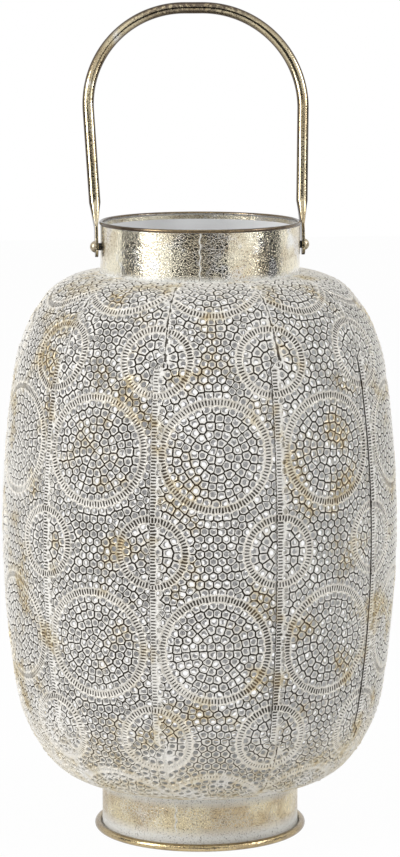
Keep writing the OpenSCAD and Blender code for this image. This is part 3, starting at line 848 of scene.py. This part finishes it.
for name, leafed, end_z, seam_z, way, seam_turn in (
        ("collar", leafed_collar, top_z - rim_wire_d - fit_gap, seam_top_z, -1, -97),
        ("foot", leafed_foot, 0, foot_h, 1, -111)):
    low, high = seam_z + way * flange_drop, seam_z + way * tuck
    lean = way * flange_w * cone_slope
    loop = np.array(((neck_r - neck_sheet, end_z), (neck_r, end_z), (neck_r, low),
                     (neck_r + flange_w, low + lean), (neck_r + flange_w, high + lean),
                     (neck_r, high), (neck_r - neck_sheet, high)))[::way]
    loop = fine_loop(loop, strip_step)
    turns = np.radians(seam_turn) + np.concatenate((
        np.linspace(-seam_turn_half, seam_turn_half, seam_places)[:-1],
        np.linspace(seam_turn_half, 2 * np.pi - seam_turn_half, round_places)[:-1]))
    points = spun_ring(loop, turns)
    wave = seam_wave_h * np.sin(loop[:, 1] * seam_waves)
    beside = (turns[:, None] - np.radians(seam_turn)) * neck_r + wave[None]
    on_seam = np.exp(-(beside / seam_half) ** 2).ravel()
    outside = np.hypot(points[:, 0], points[:, 1]) > neck_r - touch
    points[:, :2] *= (1 - on_seam * outside * seam_depth / neck_r)[:, None]
    rows = ring_faces(len(turns), len(loop), True)
    piece = add_mesh(f"leafed_{name}", points, rows, [leafed, collar_paint])
    painted = np.hypot(points[:, 0], points[:, 1]) < neck_r - neck_sheet + touch
    painted &= points[:, 2] < paint_top_z
    paint_faces(piece, painted[rows].all(axis=1))
    keep_amount(piece, "seam", on_seam)
    finish_piece(piece, "lantern", name)

# The wires soldered round the rim and the foot. The rim's has gone dark outside and is pale inside, and the
# foot's is brassier and filed flat underneath. Both also go dark where they turn away from the camera: a
# painted dark reflection.
wire_places, wire_sides = 360, 32
rim_brown, brass = (0.11, 0.085, 0.06), (0.62, 0.49, 0.27)
rim_r, rim_z = neck_r + rim_wire_out - rim_wire_d / 2, top_z - rim_wire_d / 2
foot_wire_r, foot_wire_z = neck_r + fit_gap + foot_wire_d / 2, foot_wire_d / 2 - foot_wire_flat
rim_leaf = leaf_material("leafed_rim", rim_brown, flake_low=0.8, tarnish_share=0.6, wash_share=0.0,
                         gloss=0.15, wrinkle=0.00002, edge_dark=1.2, pale_inside=(rim_r, rim_z))
brass_leaf = leaf_material("leafed_brass", brass, flake_low=0.7, tarnish_share=1.2, wash_share=0.1,
                           gloss=0.1, wrinkle=0.00003, edge_dark=0.9)
for name, material, middle_r, middle_z, wire_d in (
        ("collar_wire", rim_leaf, rim_r, rim_z, rim_wire_d),
        ("foot_wire", brass_leaf, foot_wire_r, foot_wire_z, foot_wire_d)):
    section = round_turns(wire_sides)
    loop = np.column_stack((middle_r + wire_d / 2 * np.cos(section),
                            np.maximum(middle_z + wire_d / 2 * np.sin(section), 0)))
    points = spun_ring(loop, round_turns(wire_places))
    piece = add_mesh(f"soldered_{name}", points, ring_faces(wire_places, wire_sides, True), [material])
    finish_piece(piece, "lantern", name)


def spun_solid(profile, turns):
    """Points and faces of a solid turned round Z, from a profile that starts and ends on the axis."""
    inner = profile[1:-1]
    count, rings = len(turns), len(inner)
    points = np.concatenate((spun_ring(inner, turns), [(0, 0, profile[0][1]), (0, 0, profile[-1][1])]))
    first, last = count * rings, count * rings + 1
    around = [((i + 1) % count, i) for i in range(count)]
    sides = [(b * rings + k, a * rings + k, a * rings + k + 1, b * rings + k + 1)
             for a, b in around for k in range(rings - 1)]
    caps = [(first, a * rings, b * rings) for a, b in around]
    caps += [(last, b * rings + rings - 1, a * rings + rings - 1) for a, b in around]
    return points, sides + caps


# The candle plate inside, on the foot's flange, with a hollow ring pressed up to hold the candle
plate_sheet, plate_ring_r, plate_ring_half = 0.001, 0.046, 0.0035
plate_r = neck_r + flange_w
plate_z = foot_h + tuck + flange_w * cone_slope
plate_paint = paint("plate_paint", (0.55, 0.55, 0.54), 0.5)
arch_places, plate_places = 17, 192
arch = np.linspace(0, np.pi, arch_places)
over = np.column_stack((plate_ring_r - plate_ring_half * np.cos(arch), plate_ring_half * np.sin(arch)))
hollow_r = plate_ring_half - plate_sheet
under = np.column_stack((plate_ring_r - hollow_r * np.cos(arch), hollow_r * np.sin(arch)))
over = over[over[:, 1] > plate_sheet]
profile = np.concatenate(([(0, 0)], under, [(plate_r, 0), (plate_r, plate_sheet)], over[::-1],
                          [(0, plate_sheet)]))
points, rows = spun_solid(profile, round_turns(plate_places))
plate = add_mesh("pressed_candle_plate", points + (0, 0, plate_z), rows, [plate_paint])
finish_piece(plate, "lantern", "candle_plate")

# The handle: a rod bent to an arch, its ends forged flat and drilled, leaning back as friction holds it
rod_r, handle_rise, handle_half_w, arch_r = 0.0038, 0.158, 0.0712, 0.0652
handle_lean = np.radians(13.5)
tab_t, tab_w, tab_drop, tab_rise, forged_h = 0.002, 0.0104, 0.0068, 0.013, 0.016
pivot_z = seam_top_z + 0.0173
shank_d, spacer_l = 0.0032, 0.0016
tab_start, rod_out = 0.12, 0.0003
rod_gold, bare_from_z = (0.66, 0.57, 0.38), top_z + 0.132
tab_places, tab_side_places, swell_places, arm_places, bend_places = 12, 9, 17, 30, 80
tab_power, rod_power = 8, 2
rod_sides, drill_sides, drill_over = 48, 32, 0.001
spacer_x = neck_r + fit_gap
tab_x = spacer_x + spacer_l + fit_gap
rod_x, rod_z = tab_x + tab_t / 2 + rod_out, tab_rise + forged_h
arch_x, arch_z = handle_half_w - arch_r, handle_rise - arch_r
to_arch = np.hypot(arch_x - rod_x, arch_z - rod_z)
splay = np.pi / 2 + np.arcsin(arch_r / to_arch) - np.arctan2(arch_z - rod_z, arch_x - rod_x)
arm_l = np.sqrt(to_arch ** 2 - arch_r ** 2)

# Half of the rod's middle line from the tab's rounded end to the top, then its mirror image. Each place
# has the half width and half thickness of a section between a flat tab's and a round rod's.
tab_round = np.linspace(tab_start, np.pi / 2, tab_places)
tab_zs = np.concatenate((tab_w / 2 - tab_drop - tab_w / 2 * np.cos(tab_round),
                         np.linspace(tab_w / 2 - tab_drop, tab_rise, tab_side_places)[1:]))
swell = np.linspace(0, 1, swell_places)[1:]
arm = np.linspace(0, arm_l, arm_places)[1:]
bend = np.linspace(-splay, np.pi / 2, bend_places)[1:]
flat_end = np.zeros(len(tab_zs))
centre_x = np.concatenate((flat_end + tab_x + tab_t / 2,
                           tab_x + tab_t / 2 + (rod_x - tab_x - tab_t / 2) * swell,
                           rod_x + arm * np.sin(splay), arch_x + arch_r * np.cos(bend), [0]))
centre_z = np.concatenate((tab_zs, tab_rise + forged_h * swell, rod_z + arm * np.cos(splay),
                           arch_z + arch_r * np.sin(bend), [handle_rise]))
slope = np.concatenate((flat_end, splay * swell, np.full(len(arm), splay), -bend, [-np.pi / 2]))
whole = len(arm) + len(bend) + 1
low_z = np.minimum(tab_zs - (tab_w / 2 - tab_drop), 0)
half_w = np.concatenate((np.sqrt(np.maximum((tab_w / 2) ** 2 - low_z ** 2, 1e-9)),
                         tab_w / 2 + (rod_r - tab_w / 2) * swell, np.full(whole, rod_r)))
half_t = np.concatenate((flat_end + tab_t / 2, tab_t / 2 + (rod_r - tab_t / 2) * swell,
                         np.full(whole, rod_r)))
power = np.concatenate((flat_end + tab_power, rod_power + (tab_power - rod_power) * (1 - swell) ** 2,
                        np.full(whole, float(rod_power))))
mirror = slice(-2, None, -1)
centre_x = np.concatenate((centre_x, -centre_x[mirror]))
centre_z = np.concatenate((centre_z, centre_z[mirror]))
slope = np.concatenate((slope, -np.pi - slope[mirror]))
half_w, half_t, power = (np.concatenate((v, v[mirror])) for v in (half_w, half_t, power))
turn = round_turns(rod_sides)
across = np.sign(np.cos(turn)) * np.abs(np.cos(turn)) ** (2 / power[:, None]) * half_t[:, None]
deep = np.sign(np.sin(turn)) * np.abs(np.sin(turn)) ** (2 / power[:, None]) * half_w[:, None]
x = centre_x[:, None] + across * np.cos(slope)[:, None]
z = centre_z[:, None] - across * np.sin(slope)[:, None]
y = deep * np.cos(handle_lean) + z * np.sin(handle_lean)
z = pivot_z - deep * np.sin(handle_lean) + z * np.cos(handle_lean)
points = np.column_stack((x.ravel(), y.ravel(), z.ravel()))
last = (len(centre_x) - 1) * rod_sides
rows = [tuple(row[::-1]) for row in ring_faces(len(centre_x), rod_sides, False).tolist()]
rows += [tuple(range(rod_sides)), tuple(range(last + rod_sides - 1, last - 1, -1))]
# The rod's sides go dark where they turn away from the camera: a painted dark reflection
handle_leaf = leaf_material("leafed_rod", rod_gold, flake_low=0.6, tarnish_share=0.9, wash_share=0.05,
                            gloss=0.05, wrinkle=0.00001, edge_dark=2.8, handled=bare_from_z)
handle = add_mesh("leafed_handle", points, rows, [handle_leaf])
drill_r = shank_d / 2 + fit_gap
drill_points, drill_rows = [], []
for side in (-1, 1):
    for x in (tab_x - drill_over, tab_x + tab_t + drill_over):
        drill_points += [(side * x, drill_r * np.cos(t), pivot_z + drill_r * np.sin(t))
                         for t in round_turns(drill_sides)]
    near = drill_sides * (1 + side)
    far = near + drill_sides
    after = [(i + 1) % drill_sides for i in range(drill_sides)]
    drill_rows += [(near + i, near + j, far + j, far + i)[::side] for i, j in enumerate(after)]
    drill_rows += [tuple(range(near, far))[::-side], tuple(range(far, far + drill_sides))[::side]]
drill = add_mesh("drill", drill_points, drill_rows)
cut = handle.modifiers.new("drilled", "BOOLEAN")
cut.object = drill
cut.solver = "EXACT"
drilled = bpy.data.meshes.new_from_object(handle.evaluated_get(bpy.context.evaluated_depsgraph_get()))
handle.modifiers.clear()
handle.data = drilled
bpy.data.objects.remove(drill)
finish_piece(handle, "handle", "handle")

# The pivots: round-headed rivets hammered over a washer inside, with a spacer outside the collar, painted
# black for the shadow in the gap between tab and collar
head_d, head_h, spacer_d, washer_d, washer_t = 0.0078, 0.0032, 0.0048, 0.009, 0.0008
tail_d, tail_h, tail_edge = 0.0064, 0.0014, 0.0004
head_x = tab_x + tab_t + fit_gap
washer_x = np.sqrt((neck_r - neck_sheet) ** 2 - (washer_d / 2) ** 2) - fit_gap
tail_x = washer_x - washer_t - fit_gap
ball_r = ((head_d / 2) ** 2 + head_h ** 2) / (2 * head_h)
steel = paint("rivet_steel", (0.42, 0.36, 0.26), 0.3, metallic=1)
# Painted shadow: the spacer is black for the shade in the gap between the tab and the collar
shadowed_spacer_black = paint("shadowed_spacer_black", near_black, 0.5)
dome_places, pivot_places = 12, 48
dome = np.linspace(np.arcsin(head_d / 2 / ball_r), 0, dome_places)
tail_end = tail_x - tail_h
rivet = np.array([(0, tail_end), (tail_d / 2 - tail_edge, tail_end), (tail_d / 2, tail_end + tail_edge),
                  (tail_d / 2, tail_x), (shank_d / 2, tail_x), (shank_d / 2, head_x), (head_d / 2, head_x)]
                 + [(ball_r * np.sin(t), head_x + head_h - ball_r + ball_r * np.cos(t)) for t in dome[1:]])
turns = round_turns(pivot_places)


def tube(start, end, outer_r):
    """A short tube round the shank, from start to end along the pivot axis."""
    inner_r = shank_d / 2 + fit_gap
    return np.array(((inner_r, start), (outer_r, start), (outer_r, end), (inner_r, end)))


def along_pivot(points, side):
    """Turns a piece drawn up Z so that it lies along the pivot axis on one side."""
    return np.column_stack((side * points[:, 2], side * points[:, 0], points[:, 1] + pivot_z))


for place, side in (("left", -1), ("right", 1)):
    points, rows = spun_solid(rivet, turns)
    piece = add_mesh(f"round_rivet_{place}", along_pivot(points, side), rows, [steel])
    finish_piece(piece, "lantern", f"rivet_{place}")
    for kind, loop, material, slot in (
            ("spacer", tube(spacer_x, spacer_x + spacer_l, spacer_d / 2), shadowed_spacer_black, "black_spacer"),
            ("washer", tube(washer_x - washer_t, washer_x, washer_d / 2), steel, "rivet_steel")):
        points = along_pivot(spun_ring(loop, turns), side)
        piece = add_mesh(f"plain_{kind}_{place}", points, ring_faces(pivot_places, 4, True), [material])
        finish_piece(piece, "lantern", f"{kind}_{place}")
